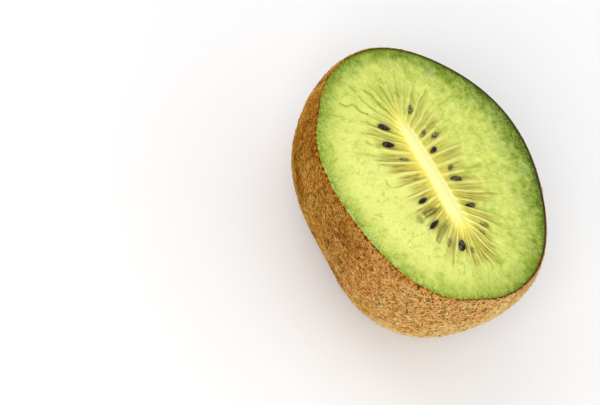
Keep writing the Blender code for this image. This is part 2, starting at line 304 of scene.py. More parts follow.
@dataclass
class FruitShape:
    """The half's outline, core and chambers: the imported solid's, with a few shallow dents."""

    length: float = 0.0622
    width: float = 0.0488
    below: float = 0.0231
    above: float = 0.0073
    fullness: float = 2.3
    taper: float = -0.033
    flat_rise: float = 0.00035
    rim_lobes: tuple = ((3, 0.0095, math.radians(-69)), (5, 0.011, math.radians(165)))
    flank_lobes: tuple = ((3, 0.059, math.radians(-150)),)
    dents: tuple = (
        (233.0, 12.0, 0.0073, 0.004, 0.0008), (347.0, 10.0, 0.0073, 0.004, 0.0005),
        (277.0, 23.0, -0.0135, 0.008, 0.0015), (38.0, 24.0, 0.0, 0.006, -0.0005),
    )
    skin: float = 0.0002
    low_skin: float = 0.00036
    lump_height: float = 0.00022
    lump_length: float = 0.0075
    core_length: float = 0.0264
    core_width: float = 0.0029
    core_turn: float = math.radians(4.8)
    core_middle: tuple = (0.0003, -0.00045)
    chambers: int = 42
    chamber_depth: float = 0.0004
    chamber_reaches: tuple = (0.06, 0.28, 0.66)
    shift: Rows = field(default_factory=lambda: np.zeros(3))
    walls: Rows = field(default_factory=lambda: np.zeros(0))

    def __post_init__(self) -> None:
        """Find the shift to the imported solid's place, and the walls between the chambers."""
        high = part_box(NODE)[1]
        angles, levels = np.meshgrid(np.linspace(0, TAU, 721), np.linspace(-0.01, self.above, 60))
        flank = self.skin_place(angles.ravel(), levels.ravel())
        self.shift = np.array((high.x - flank[:, 0].max(), high.y - flank[:, 1].max(), 0.0))
        middles = TAU * (np.arange(self.chambers) + 0.5) / self.chambers
        for seed in SEEDS:
            angle = self.find(seed.along * MM, seed.across * MM)[0]
            middles[int(angle / TAU * self.chambers)] = angle
        before = np.concatenate(([middles[-1] - TAU], middles[:-1]))
        walls = (before + middles) / 2
        self.walls = np.append(walls, walls[0] + TAU)

    @property
    def cut_height(self) -> float:
        """Height of the cut face."""
        return self.above + self.below - self.flat_rise

    @staticmethod
    def lobes(angle: Rows, waves: tuple) -> Rows:
        """Sum of growth waves at angles round the fruit."""
        return sum(size * np.cos(count * angle - phase) for count, size, phase in waves)

    def skin_place(self, angle: Rows, level: Rows, inset: float = 0.0) -> Rows:
        """Find places of the skin.

        Args:
            angle: Angles round the fruit.
            level: Levels, measured from the fruit's widest one.
            inset: How far inside the skin the places lie.

        Returns:
            One row of coordinates for each place.
        """
        share = np.clip(np.abs(level) / self.below, 0.0, 1.0)
        roundness = (1 - share ** self.fullness) ** (1 / self.fullness)
        depth = (self.above - level) / (self.above + self.below)
        uneven = self.lobes(angle, self.rim_lobes) + depth * self.lobes(angle, self.flank_lobes)
        growth = roundness * (1 + uneven)
        inset = inset + roundness * self.dent(angle, level)
        half_length = np.maximum(self.length / 2 * growth - inset, 0.0)
        taper = 1 + self.taper * np.cos(angle)
        half_width = np.maximum(self.width / 2 * taper * growth - inset, 0.0)
        height = level + self.below - self.flat_rise
        across = half_width * np.sin(angle)
        return np.column_stack((half_length * np.cos(angle), across, height)) + self.shift

    def stem_end(self) -> Rows:
        """Find the middle of the stem scar on the skin."""
        return self.skin_place(np.array([math.pi]), np.array([0.0]))[0]

    def flat(self, places: Rows) -> Rows:
        """Measure places along and across the fruit from the middle of the cut face."""
        return places[:, :2] - self.shift[:2]

    def dent(self, angle: Rows, level: Rows) -> Rows:
        """Find how deep the skin's flat places are, below zero where it bulges.

        Args:
            angle: Angles round the fruit.
            level: Levels, measured from the fruit's widest one.

        Returns:
            Depths in metres.
        """
        depth = np.zeros_like(angle)
        for middle, width, height, spread, deep in self.dents:
            aside = 2 * (1 - facing(angle, middle)) / math.radians(width) ** 2
            depth = depth + deep * np.exp(-aside - ((level - height) / spread) ** 2)
        return depth

    def core_place(self, angle: Rows, long: Rows, wide: Rows) -> Rows:
        """Find places in the core's long oval.

        Args:
            angle: Angles round the core.
            long: Share of the core's length.
            wide: Share of the core's width.

        Returns:
            One row of coordinates for each place, at the height of the cut.
        """
        along = self.core_length / 2 * long * np.cos(angle)
        across = self.core_width / 2 * wide * np.sin(angle)
        cosine, sine = math.cos(self.core_turn), math.sin(self.core_turn)
        x = self.core_middle[0] + cosine * along - sine * across
        y = self.core_middle[1] + sine * along + cosine * across
        return np.column_stack((x, y, np.full_like(x, self.cut_height))) + self.shift

    def face_place(self, angle: Rows, reach: Rows) -> Rows:
        """Find places of the level cut face.

        Args:
            angle: Angles round the core.
            reach: Reaches.

        Returns:
            One row of coordinates for each place.
        """
        ones = np.ones_like(angle)
        inner = self.core_place(angle, ones, ones)
        outer = self.skin_place(angle, self.above * ones, self.skin)
        return inner + (outer - inner) * reach[:, None]

    def find(self, along: float, across: float) -> tuple[float, float]:
        """Find the angle and reach of a place on the cut face.

        Args:
            along: Distance along the fruit from the middle of the face, in metres.
            across: Distance across it.

        Returns:
            The angle and the reach of the nearest ray.
        """
        angle = np.linspace(0, TAU, 1440, endpoint=False)
        inner = self.flat(self.face_place(angle, np.zeros_like(angle)))
        ray = self.flat(self.face_place(angle, np.ones_like(angle))) - inner
        place = np.array((along, across))
        reach = ((place - inner) * ray).sum(1) / (ray * ray).sum(1)
        miss = np.linalg.norm(inner + ray * reach[:, None] - place, axis=1)
        miss[(reach < 0) | (reach > 1)] = math.inf
        best = int(miss.argmin())
        return float(angle[best]), float(reach[best])

    def ray_angle(self, chamber: Rows) -> Rows:
        """Angle of a chamber number, where whole numbers are the walls."""
        return np.interp(chamber, np.arange(self.chambers + 1), self.walls)

    def dip(self, phase: Rows, reach: Rows) -> Rows:
        """Find the depth of a seed chamber under the cut.

        Args:
            phase: Share of the way across the chamber.
            reach: Reaches.

        Returns:
            Depths in metres.
        """
        inner, deep, outer = self.chamber_reaches
        across = 0.5 - 0.5 * np.cos(TAU * phase)
        along = rise(0.0, inner, reach) * (1 - rise(deep, outer, reach))
        return self.chamber_depth * across * along

    def level(self, share: Rows) -> Rows:
        """Find the level of the skin on its way from the cut down to the flat spot.

        Args:
            share: Share of the way.

        Returns:
            Levels, measured from the fruit's widest one.
        """
        half = self.fullness / 2
        top = -math.asin((self.above / self.below) ** half)
        bottom = math.asin(((self.below - self.flat_rise) / self.below) ** half)
        turn = top + (bottom - top) * share
        return -np.sign(turn) * self.below * np.abs(np.sin(turn)) ** (1 / half)

    def lump(self, places: Rows, share: Rows) -> Rows:
        """Move places of the skin in or out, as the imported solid's lumps do.

        Args:
            places: Places of the skin.
            share: How much of the lumps each place takes.

        Returns:
            The moved places.
        """
        start = places - self.shift
        outward = start * (1, 1, 0)
        outward /= np.maximum(np.linalg.norm(outward, axis=1), 1e-9)[:, None]
        bumps = cloudy(start / self.lump_length)
        return places + outward * (self.lump_height * share * bumps)[:, None]


# Tints along the fruit from -X to +X, partly the skin's own tone and partly painted light and shade: darkest
# a quarter of the way from -X, lighter towards +X.
SIDE_TINTS_AND_LIGHT = (
    (0.0, (1.0, 0.88, 0.5)), (0.1, (0.88, 0.74, 0.32)), (0.24, (0.6, 0.46, 0.1)),
    (0.5, (0.69, 0.59, 0.26)), (0.75, (0.82, 0.74, 0.47)), (1.0, (1.0, 0.98, 0.78)),
)
FRUIT_SPAN = 0.0625


class Graph:
    """Short calls that build a material's nodes."""

    def __init__(self, name: str) -> None:
        """Make an empty material with its shader.

        Args:
            name: Name of the material.
        """
        self.material = bpy.data.materials.new(name)
        self.material.use_nodes = True
        self.tree = self.material.node_tree
        self.shader = self.tree.nodes["Principled BSDF"]

    def feed(self, socket: Socket, value: object) -> None:
        """Link a node's output to a socket, or set the socket to a plain value.

        Args:
            socket: The socket.
            value: The output or the value.
        """
        if isinstance(value, Socket):
            self.tree.links.new(value, socket)
        elif isinstance(value, tuple) and socket.type == "RGBA":
            socket.default_value = (*value, 1.0)
        else:
            socket.default_value = value

    def surface(self, **values: object) -> None:
        """Feed the shader's sockets.

        Args:
            values: What each socket is fed, by its name with _ for each space.
        """
        for name, value in values.items():
            title = name.replace("_", " ").title().replace("Ior", "IOR")
            self.feed(self.shader.inputs[title], value)

    def node(self, kind: str, output: object, fed: dict, **settings: object) -> Socket:
        """Add a node with its settings and feed its inputs.

        Args:
            kind: Blender's name of the node.
            output: Name or number of the output that is wanted.
            fed: What each input is fed, by its name or number.
            settings: The node's own settings.

        Returns:
            The output.
        """
        node = self.tree.nodes.new(kind)
        for name, value in settings.items():
            setattr(node, name, value)
        for name, value in fed.items():
            self.feed(node.inputs[name], value)
        return node.outputs[output]

    def value(self, name: str, output: str = "Fac") -> Socket:
        """Read a number stored on the piece, or with the output Vector a row of three."""
        return self.node("ShaderNodeAttribute", output, {}, attribute_name=name)

    def place(self) -> Socket:
        """Read the place on the piece, in metres."""
        return self.node("ShaderNodeTexCoord", "Object", {})

    def along(self) -> Socket:
        """Read the place along the fruit as a share, from 0 at -X to 1 at +X."""
        along = self.node("ShaderNodeSeparateXYZ", "X", {0: self.place()})
        return self.total(self.product(along, 1 / FRUIT_SPAN), 0.5)

    def math(self, operation: str, first: object, second: object = 0.0) -> Socket:
        """Work out one sum, by Blender's name of it."""
        return self.node("ShaderNodeMath", 0, {0: first, 1: second}, operation=operation)

    def total(self, first: object, second: object) -> Socket:
        """Add two values."""
        return self.math("ADD", first, second)

    def product(self, first: object, *others: object) -> Socket:
        """Multiply two or more values."""
        for other in others:
            first = self.math("MULTIPLY", first, other)
        return first

    def off_middle(self, value: object, amount: object) -> Socket:
        """Centre a value from 0 to 1 on zero and multiply it."""
        return self.product(self.math("SUBTRACT", value, 0.5), amount)

    def rise(self, value: object, low: float, high: float) -> Socket:
        """Rise smoothly from 0 at low to 1 at high."""
        fed = {"Value": value, "From Min": low, "From Max": high}
        return self.node("ShaderNodeMapRange", "Result", fed, interpolation_type="SMOOTHSTEP")

    def fall(self, value: object, low: float, high: float) -> Socket:
        """Fall smoothly from 1 at low to 0 at high."""
        return self.math("SUBTRACT", 1.0, self.rise(value, low, high))

    def noise(self, scale: float, detail: float = 2.0, distortion: float = 0.0,
              vector: Socket = None) -> Socket:
        """Make cloudy noise.

        Args:
            scale: Its fineness.
            detail: How many finer layers it has.
            distortion: How far it swirls.
            vector: Where it is read, which is the place on the piece if nothing is given.

        Returns:
            Values from 0 to 1 round 0.5.
        """
        fed = {"Vector": vector or self.place(), "Scale": scale, "Detail": detail, "Distortion": distortion}
        return self.node("ShaderNodeTexNoise", "Fac", fed)

    def streaks(self, across: float, along: float, detail: float,
                distortion: float = 0.0) -> Socket:
        """Make noise that follows the rays from the core to the skin.

        Args:
            across: Its fineness round the core.
            along: Its fineness along the rays.
            detail: How many finer layers it has.
            distortion: How far it swirls.

        Returns:
            Values from 0 to 1 round 0.5.
        """
        fed = {"Vector": self.value("ray", "Vector"), "Scale": (across, across, along)}
        return self.noise(1.0, detail, distortion, self.node("ShaderNodeMapping", "Vector", fed))

    def threads(self, cloud: object, width: float) -> Socket:
        """Draw thin wandering lines where a noise crosses its middle."""
        return self.fall(self.math("ABSOLUTE", self.math("SUBTRACT", cloud, 0.5)), 0.0, width)

    def ramp(self, value: object, stops: tuple) -> Socket:
        """Turn a value into a colour through blended stops.

        Args:
            value: The value.
            stops: Pairs of a position and a colour.

        Returns:
            The colour.
        """
        colour = self.node("ShaderNodeValToRGB", "Color", {"Fac": value})
        marks = colour.node.color_ramp.elements
        while len(marks) < len(stops):
            marks.new(0.5)
        for mark, (position, shade) in zip(marks, stops):
            mark.position = position
            mark.color = (*shade, 1.0)
        return colour

    def mix(self, share: object, first: object, second: object) -> Socket:
        """Blend from the first colour to the second."""
        return self.node("ShaderNodeMix", 2, {0: share, 6: first, 7: second}, data_type="RGBA")

    def tinted(self, colour: object) -> Socket:
        """Shade a colour along the fruit with the skin's tints, partly its own tone and partly painted light
        and shade.
        """
        fed = {0: 1.0, 6: colour, 7: self.ramp(self.along(), SIDE_TINTS_AND_LIGHT)}
        return self.node("ShaderNodeMix", 2, fed, data_type="RGBA", blend_type="MULTIPLY")

    def bump(self, height: object, strength: float, distance: float) -> Socket:
        """Tilt the surface by a height, given in shares of the distance in metres."""
        fed = {"Height": height, "Strength": strength, "Distance": distance}
        return self.node("ShaderNodeBump", "Normal", fed)


@dataclass(frozen=True)
class FleshFinish:
    """Moist flesh: pale green that deepens to the rim, cream walls, olive chambers, pale core."""

    depths: tuple = (
        (0.0, tone(238, 242, 134)), (0.35, tone(214, 223, 112)), (0.6, tone(175, 191, 78)),
        (0.8, tone(134, 152, 38)), (1.0, tone(84, 102, 2)),
    )
    chamber: Colour = tone(206, 194, 86)
    chamber_dark: Colour = tone(134, 124, 36)
    chamber_root: Colour = tone(220, 202, 66)
    # Painted shade: a dark olive line beside one side of each wall.
    wall_shade: Colour = tone(124, 118, 16)
    wall: Colour = tone(238, 232, 132)
    root: Colour = tone(238, 222, 86)
    mottle: Colour = tone(182, 208, 58)
    mottle_deep: Colour = tone(100, 138, 22)
    net: Colour = tone(198, 212, 116)
    haze: Colour = tone(176, 192, 128)
    dash: Colour = tone(104, 142, 4)
    dash_light: Colour = tone(206, 222, 118)
    crease: Colour = tone(150, 176, 26)
    rim_near: Colour = tone(114, 142, 2)
    rim_far: Colour = tone(66, 88, 4)
    # Painted shadow of the skin's lip on the far rim of the flesh.
    rim_shadow: Colour = tone(46, 50, 6)
    # Painted highlight on the near edge of the flesh.
    rim_highlight: Colour = tone(186, 226, 176)
    core: Colour = tone(255, 253, 168)
    core_edge: Colour = tone(253, 242, 122)
    core_end: Colour = tone(253, 238, 124)
    smudge: Colour = tone(54, 48, 50)
    bed: Colour = tone(126, 122, 50)
    split: Colour = tone(148, 170, 8)
    outline: Colour = tone(92, 92, 16)
    blush: Colour = tone(228, 148, 52)

    def pericarp(self, graph: Graph) -> object:
        """Colour the flesh between the chambers and the skin.

        Args:
            graph: The material's nodes.

        Returns:
            The colour.
        """
        reach = graph.value("reach")
        far = graph.value("far")
        uneven = graph.total(
            graph.off_middle(graph.streaks(46, 20, 3), 0.35), graph.off_middle(graph.noise(260, 3), 0.5),
        )
        coarse = graph.total(0.24, graph.product(far, 0.5))
        uneven = graph.total(uneven, graph.off_middle(graph.noise(700, 2, 0.5), coarse))
        shade = graph.total(graph.value("shade"), uneven)
        colour = graph.ramp(shade, self.depths)

        deep = graph.rise(shade, 0.45, 0.85)
        outside = graph.rise(reach, 0.15, 0.5)
        cells = graph.rise(graph.streaks(46, 26, 3, 0.8), 0.52, 0.66)
        spots = graph.product(cells, outside, graph.rise(far, -0.9, 1.0), 0.6)
        colour = graph.mix(spots, colour, graph.mix(deep, self.mottle, self.mottle_deep))
        strands = graph.threads(graph.noise(620, 2.5, 1.1), 0.1)
        haze = graph.rise(graph.noise(210, 2), 0.4, 0.66)
        some = graph.total(0.35, graph.product(haze, 0.65))
        net = graph.product(strands, some, graph.rise(reach, 0.4, 0.75), far, 0.5)
        colour = graph.mix(net, colour, self.net)
        haze = graph.product(haze, graph.rise(reach, 0.6, 0.85), graph.fall(reach, 0.86, 0.94), far, 0.3)
        colour = graph.mix(haze, colour, self.haze)

        broken = graph.rise(graph.noise(520, 2), 0.5, 0.6)
        threads = graph.threads(graph.noise(370, 2.0, 0.9), 0.055)
        threads = graph.product(threads, broken, graph.rise(reach, 0.3, 0.6), 0.45)
        colour = graph.mix(threads, colour, graph.mix(deep, self.crease, self.dash))
        torn = graph.rise(graph.streaks(9, 7, 1), 0.46, 0.6)
        creases = graph.threads(graph.streaks(19, 3.2, 2, 0.3), 0.03)
        creases = graph.product(creases, torn, graph.value("creased"), 0.8)
        colour = graph.mix(creases, colour, self.crease)

        near_rim = graph.rise(reach, 0.8, 0.97)
        dashes = graph.streaks(74, 42, 2, 1.6)
        colour = graph.mix(graph.product(graph.rise(dashes, 0.53, 0.62), near_rim, 0.85), colour, self.dash)
        light = graph.product(graph.fall(dashes, 0.34, 0.44), near_rim, graph.fall(far, 0.2, 1.2), 0.5)
        return graph.mix(light, colour, self.dash_light)

    def chambers(self, graph: Graph, colour: object) -> object:
        """Colour the seed chambers, the walls between them, the painted shade line beside each wall, and what
        lies in them.

        Args:
            graph: The material's nodes.
            colour: The colour of the flesh without them.

        Returns:
            The colour.
        """
        patches = graph.streaks(24, 16, 2)
        fibres = graph.rise(graph.streaks(44, 4, 3), 0.4, 0.66)
        inside = graph.mix(fibres, self.chamber, self.chamber_dark)
        golden = graph.product(graph.fall(graph.value("reach"), 0.02, 0.2), graph.rise(patches, 0.3, 0.6))
        inside = graph.mix(golden, inside, self.chamber_root)
        grains = graph.total(0.55, graph.product(graph.rise(graph.noise(1500, 2), 0.35, 0.6), 0.45))
        layers = (
            # Second layer: a painted shade line beside the walls.
            ("chamber", inside), ("wall_shade", self.wall_shade), ("root", self.root, graph.rise(patches, 0.2, 0.55)),
            ("wall", self.wall), ("bed", self.bed), ("smudge", self.smudge, grains),
            ("outline", self.outline), ("blush", self.blush),
            ("split", self.split, graph.rise(patches, 0.28, 0.44)),
        )
        for name, layer, *broken in layers:
            colour = graph.mix(graph.product(graph.value(name), *broken), colour, layer)
        return colour

    def rim(self, graph: Graph, colour: object) -> object:
        """Colour the green band where the flesh meets the skin, deeper on the far side partly as painted
        shade, with a painted shadow under the far lip and a thin broken painted highlight on the near edge.

        Args:
            graph: The material's nodes.
            colour: The colour of the flesh without them.

        Returns:
            The colour.
        """
        band = graph.product(graph.value("rim_band"), graph.rise(graph.streaks(40, 22, 3, 0.8), 0.36, 0.6))
        # Darker green on the far rim: the flesh's own deep green, partly painted shade.
        green = graph.mix(graph.value("far"), self.rim_near, self.rim_far)
        colour = graph.mix(band, colour, green)
        # Painted shadow under the far lip.
        colour = graph.mix(graph.value("rim_shadow"), colour, self.rim_shadow)
        # Painted highlight on the near edge, broken by noise.
        pale = graph.product(graph.value("rim_highlight"), graph.rise(graph.noise(900, 3), 0.5, 0.58), 0.55)
        return graph.mix(pale, colour, self.rim_highlight)

    def material(self) -> bpy.types.Material:
        """Build the flesh's material from the values stored on the piece."""
        graph = Graph("kiwi_flesh")
        colour = self.rim(graph, self.chambers(graph, self.pericarp(graph)))
        share = graph.value("core")
        core = graph.mix(graph.value("core_end"), self.core, self.core_end)
        core = graph.mix(graph.fall(share, 0.35, 1.0), core, self.core_edge)
        relief = graph.total(graph.noise(1400, 2), graph.product(graph.streaks(46, 20, 3), 0.8))
        graph.surface(
            base_color=graph.mix(share, colour, core), normal=graph.bump(relief, 0.25, 0.0004),
            roughness=graph.total(0.3, graph.product(graph.noise(260, 3), 0.2)),
            specular_ior_level=0.22, subsurface_weight=0.25, subsurface_scale=0.0004,
            subsurface_radius=(1.0, 0.9, 0.35),
        )
        return graph.material


@dataclass
class Flesh:
    """The flesh inside the skin, one closed shell with the cut face on top."""

    shape: FruitShape
    finish: FleshFinish = FleshFinish()
    columns_per_chamber: int = 14
    wall_crowding: float = 0.6
    bends: tuple = ((0.032, 2.4), (0.006, 9.0))
    bends_outwards: float = 1.6
    core_rows: int = 8
    face_rows: int = 105
    hidden_rows: int = 12
    grain_height: float = 0.00005
    grain_length: float = 0.0011
    wobble_length: float = 0.0016
    shaded_side: float = 135.0
    # Sides of the face: the far side takes painted shade, the sunny side painted light, and the front side
    # the rim's painted highlight.
    far_side: float = 105.0
    sunny_side: float = 282.0
    front_side: float = 283.0
    golden_side: float = 226.0
    draws: int = 7
    tip_reaches: tuple = (0.26, 0.46)
    fillings: tuple = (0.45, 1.0)
    darker_sides: tuple = (-0.6, 1.0)
    wall_leads: tuple = (-0.05, 0.12)
    wall_strengths: tuple = (0.3, 0.85)
    bed_growth: tuple = (1.25, 1.4)
    seed_softness: float = 0.35
    blushes: tuple = ((-15.4, -8.1, 0.0, 0.6, 0.6), (24.3, 13.3, 130.0, 2.6, 0.7))
    core_size: tuple = (0.0144, 0.00168)
    core_bluntness: float = 6.0
    core_tip: float = 0.94
    core_foot: float = 0.3
    core_rise: float = 0.00012
    hidden_gap: float = 0.0003
    hidden_lift: float = 1.5
    empty_beds: tuple = ((8.8, -5.1, 97.0, 3.2, 1.1), (13.3, -5.0, 128.0, 4.6, 1.0),
                         (9.8, -8.0, 140.0, 1.3, 0.9))

    def places(self, chamber: Rows, row: Rows) -> tuple:
        """Find each vertex's place, with its angle and its reach.

        Args:
            chamber: Chamber numbers, where whole ones are walls.
            row: Row numbers, from the core's middle outwards.

        Returns:
            The places, the angles, and the reaches, which run from -1 to 0 in the core.
        """
        shape = self.shape
        share = np.clip(row / self.core_rows, 0, 1)
        even = TAU * chamber / shape.chambers
        angle = even + (shape.ray_angle(chamber) - even) * rise(0.0, 1.0, share)
        reach = np.clip((row - self.core_rows) / self.face_rows, 0, 1)
        angle = angle + self.bent(angle, reach)
        core = shape.core_place(angle, 0.9 + 0.1 * share, share)
        core[:, 2] += self.core_rise * (1 - rise(0.0, 1.0, share))
        face = shape.face_place(angle, reach)
        shallow = 1 - 0.6 * self.back_end(angle)
        face[:, 2] -= shallow * shape.dip(chamber % 1, reach)
        places = np.where((row <= self.core_rows)[:, None], core, face)

        under = np.clip((row - self.core_rows - self.face_rows) / self.hidden_rows, 0, 1)
        level = shape.level(under)
        retreat = shape.skin + self.hidden_gap * rise(0.0, 0.15, under)
        wall = shape.skin_place(angle, level, retreat)
        wall[:, 2] += self.hidden_lift * shape.low_skin * under ** 2
        wall[under >= 1, :2] = shape.shift[:2]
        places = np.where((under > 0)[:, None], wall, places)
        return places, angle, np.where(row < self.core_rows, share - 1, reach)

    @staticmethod
    def back_end(angle: Rows) -> Rows:
        """Tell how close angles are to the -X end, from 0 to 1."""
        return np.maximum(-np.cos(angle), 0) ** 3

    def bent(self, angle: Rows, reach: Rows) -> Rows:
        """Find how far the walls between the chambers wander from straight rays.

        Args:
            angle: Angles round the core.
            reach: Reaches.

        Returns:
            The angles to add.
        """
        bends = np.zeros_like(angle)
        for height, count in self.bends:
            rounds = (count * np.cos(angle), count * np.sin(angle), self.bends_outwards * count * reach)
            bends += height * cloudy(np.column_stack(rounds))
        return bends * rise(0.0, 0.3, reach)

    def blot(self, places: Rows, spot: tuple, soft: float) -> Rows:
        """Measure how far inside an oval blot each place is.

        Args:
            places: The places.
            spot: The oval's middle in millimetres, its turn in degrees, its length and width.
            soft: Share of the oval over which it fades.

        Returns:
            1 inside the oval, falling to 0 outside.
        """
        along, across, turn, length, width = spot
        offset = self.shape.flat(places) / MM - (along, across)
        ahead, aside = turned(offset, math.radians(turn))
        return 1 - rise(1 - soft, 1 + soft, np.hypot(ahead / (length / 2), aside / (width / 2)))

    def core_share(self, places: Rows, side_weight: float = 1.0) -> Rows:
        """Measure how far out each place is in the core's blunt-ended oval.

        Args:
            places: The places.
            side_weight: How much the distance across the core counts.

        Returns:
            0 at the core's middle, 1 on its outline and more outside.
        """
        shape = self.shape
        ahead, aside = turned(shape.flat(places) - shape.core_middle, shape.core_turn)
        ahead = ahead / self.core_size[0]
        aside = aside / self.core_size[1]
        aside /= self.core_tip + (1 - self.core_tip) * rise(-1.0, -0.4, ahead)
        aside /= 1 + self.core_foot * rise(0.2, 0.9, ahead)
        blunt = self.core_bluntness
        return (np.abs(ahead) ** blunt + np.abs(side_weight * aside) ** blunt) ** (1 / blunt)

    def line_mask(self, places: Rows, marks: tuple) -> Rows:
        """Draw thin soft lines.

        Args:
            places: The places.
            marks: The lines.

        Returns:
            The strength of the lines at each place.
        """
        flat = self.shape.flat(places) / MM
        mask = np.zeros(len(flat))
        for mark in marks:
            nearest = np.full(len(flat), 9.0)
            for start, end in zip(mark.points, mark.points[1:]):
                begin = np.array(start)
                step = np.array(end) - begin
                share = np.clip(((flat - begin) * step).sum(1) / (step * step).sum(), 0, 1)
                gap = np.linalg.norm(flat - begin - share[:, None] * step, axis=1)
                nearest = np.minimum(nearest, gap)
            mask = np.maximum(mask, mark.strength * np.exp(-(nearest / mark.width) ** 2))
        return mask

    def seed_marks(self, places: Rows) -> tuple[Rows, Rows]:
        """Measure how much of the sunken seeds, and of the hollows that seeds lie in, shows.

        Args:
            places: The places.

        Returns:
            The share of seed and the share of hollow at each place.
        """
        smudge = np.zeros(len(places))
        bed = np.zeros(len(places))
        for seed in SEEDS:
            spot = (seed.along, seed.across, seed.pointing)
            if seed.lie is Lie.SUNKEN:
                blot = self.blot(places, (*spot, seed.length, seed.width), self.seed_softness)
                smudge = np.maximum(smudge, seed.strength * blot)
            else:
                size = (seed.length * self.bed_growth[0], seed.width * self.bed_growth[1])
                bed = np.maximum(bed, 0.45 * self.blot(places, (*spot, *size), self.seed_softness))
        for spot in self.empty_beds:
            bed = np.maximum(bed, 0.6 * self.blot(places, spot, 0.3))
        return np.minimum(1.25 * smudge, 1.0), bed

    def chamber_patterns(self, chamber: Rows, places: Rows, angle: Rows, reach: Rows) -> dict[str, Rows]:
        """Measure what fills the seed chambers, the walls between them, the painted shade line beside each
        wall, and the core.

        Args:
            chamber: Chamber numbers, where whole ones are walls.
            places: The places.
            angle: Angles round the core.
            reach: Reaches.

        Returns:
            The patterns by name.
        """
        chance = np.random.default_rng(self.draws)
        count = self.shape.chambers
        number = np.floor(chamber).astype(int) % count
        near_end = np.abs(np.cos(angle)) ** 6
        tips = chance.uniform(*self.tip_reaches, count)[number] + 0.16 * near_end
        fills = chance.uniform(*self.fillings, count)[number]
        sides = chance.uniform(*self.darker_sides, count)[number]
        wall_end = tips + chance.uniform(*self.wall_leads, count)[number]
        strength = chance.uniform(*self.wall_strengths, count)[number]

        back_end = self.back_end(angle)
        golden = np.maximum(facing(angle, self.golden_side), 0) ** 6
        shaded = (1 - 0.28 * np.maximum(facing(angle, self.shaded_side), 0)) * (1 - 0.5 * back_end)
        wobble = cloudy(places / self.wobble_length)
        ending = reach + 0.05 * wobble
        phase = chamber % 1
        half = np.abs(2 * phase - 1)
        on_face = rise(0.0, 0.03, reach)
        inside = 1 - rise(tips - 0.12, tips + 0.05, ending)
        fill = (1 - rise(0.6, 0.9, half)) * on_face * inside
        # Painted shade line along one side of each wall, with the side and strength drawn per chamber.
        beside = np.exp(-((phase - 0.5 - 0.36 * np.sign(sides)) / 0.07) ** 2)
        line = beside * np.abs(sides) * rise(0.02, 0.1, reach) * (1 - rise(tips, tips + 0.12, ending))
        wall = rise(0.52, 0.94, half) * (1 - rise(wall_end - 0.26, wall_end + 0.06, ending)) * on_face
        near_core = 1 - rise(0.12, 0.3, reach)
        root_end = 0.11 + 0.09 * near_end * (1 - back_end) + 0.1 * golden
        return {
            "chamber": fill * (0.5 + 0.5 * fills) * shaded,
            "wall_shade": line * shaded,
            "wall": (strength + 0.15 * near_core) * wall * (1 - 0.85 * back_end) * (1 - 0.4 * golden),
            "root": (0.55 - 0.4 * back_end + 0.3 * golden) * (1 - rise(0.0, root_end, reach)),
            "core": 1 - rise(0.7, 1.32, self.core_share(places) + 0.12 * wobble),
            "core_end": rise(0.6, 1.05, self.core_share(places, 0.0)),
        }

    def mark_patterns(self, places: Rows) -> dict[str, Rows]:
        """Measure the seeds' marks, the empty beds' outlines, the splits and the blushes.

        Args:
            places: The places.

        Returns:
            The patterns by name.
        """
        smudge, bed = self.seed_marks(places)
        return {
            "smudge": smudge,
            "bed": bed,
            "split": np.minimum(1.3 * self.line_mask(places, SPLITS), 1.0),
            "outline": self.line_mask(places, EMPTY_BEDS),
            "blush": np.maximum.reduce([self.blot(places, spot, 0.4) for spot in self.blushes]),
        }

    def flesh_patterns(self, angle: Rows, reach: Rows) -> dict[str, Rows]:
        """Measure how deep the flesh's green is, and its rim: partly the flesh's own green deepening to the
        rim, partly painted light on the sunny side and painted shade on the far side.

        Args:
            angle: Angles round the core.
            reach: Reaches.

        Returns:
            The patterns by name.
        """
        far = 0.5 + 0.5 * facing(angle, self.far_side)
        # Painted light: the flesh is lightened towards the sunny side.
        sunny = np.maximum(facing(angle, self.sunny_side), 0) ** 1.5
        behind = np.maximum(np.sin(angle), 0)
        rim_depth = 0.53 - 0.16 * np.maximum(np.cos(angle), 0) ** 2 + 0.11 * behind
        deepening = rise(0.66 + 0.03 * self.back_end(angle), 1.0, reach) * (1 - behind)
        outer = np.clip((reach - 0.63) / 0.37, 0, 1)
        # Partly painted shade: the green deepens further on the far side.
        deepening += behind * (outer + 0.12 * rise(0.6, 0.85, outer))
        creased = rise(0.12, 0.3, reach) * (1 - rise(0.6, 0.85, reach))
        return {
            "reach": reach,
            "ray": np.column_stack((np.cos(angle), np.sin(angle), reach)),
            "far": far,
            "shade": 0.35 - 0.34 * sunny + rim_depth * deepening,
            "creased": (0.25 + 0.75 * np.cos(angle) ** 2) * creased,
            # Painted highlight at the edge, on the front side only.
            "rim_highlight": rise(0.966, 0.985, reach) * rise(0.86, 0.95, facing(angle, self.front_side)),
            # The band is stronger on the far side, partly painted shade.
            "rim_band": rise(0.93, 0.985, reach) * (0.6 + 0.4 * far),
            # Painted shadow under the lip, along the outermost edge on the far side.
            "rim_shadow": rise(0.975, 0.992, reach) * rise(0.3, 0.7, far),
        }

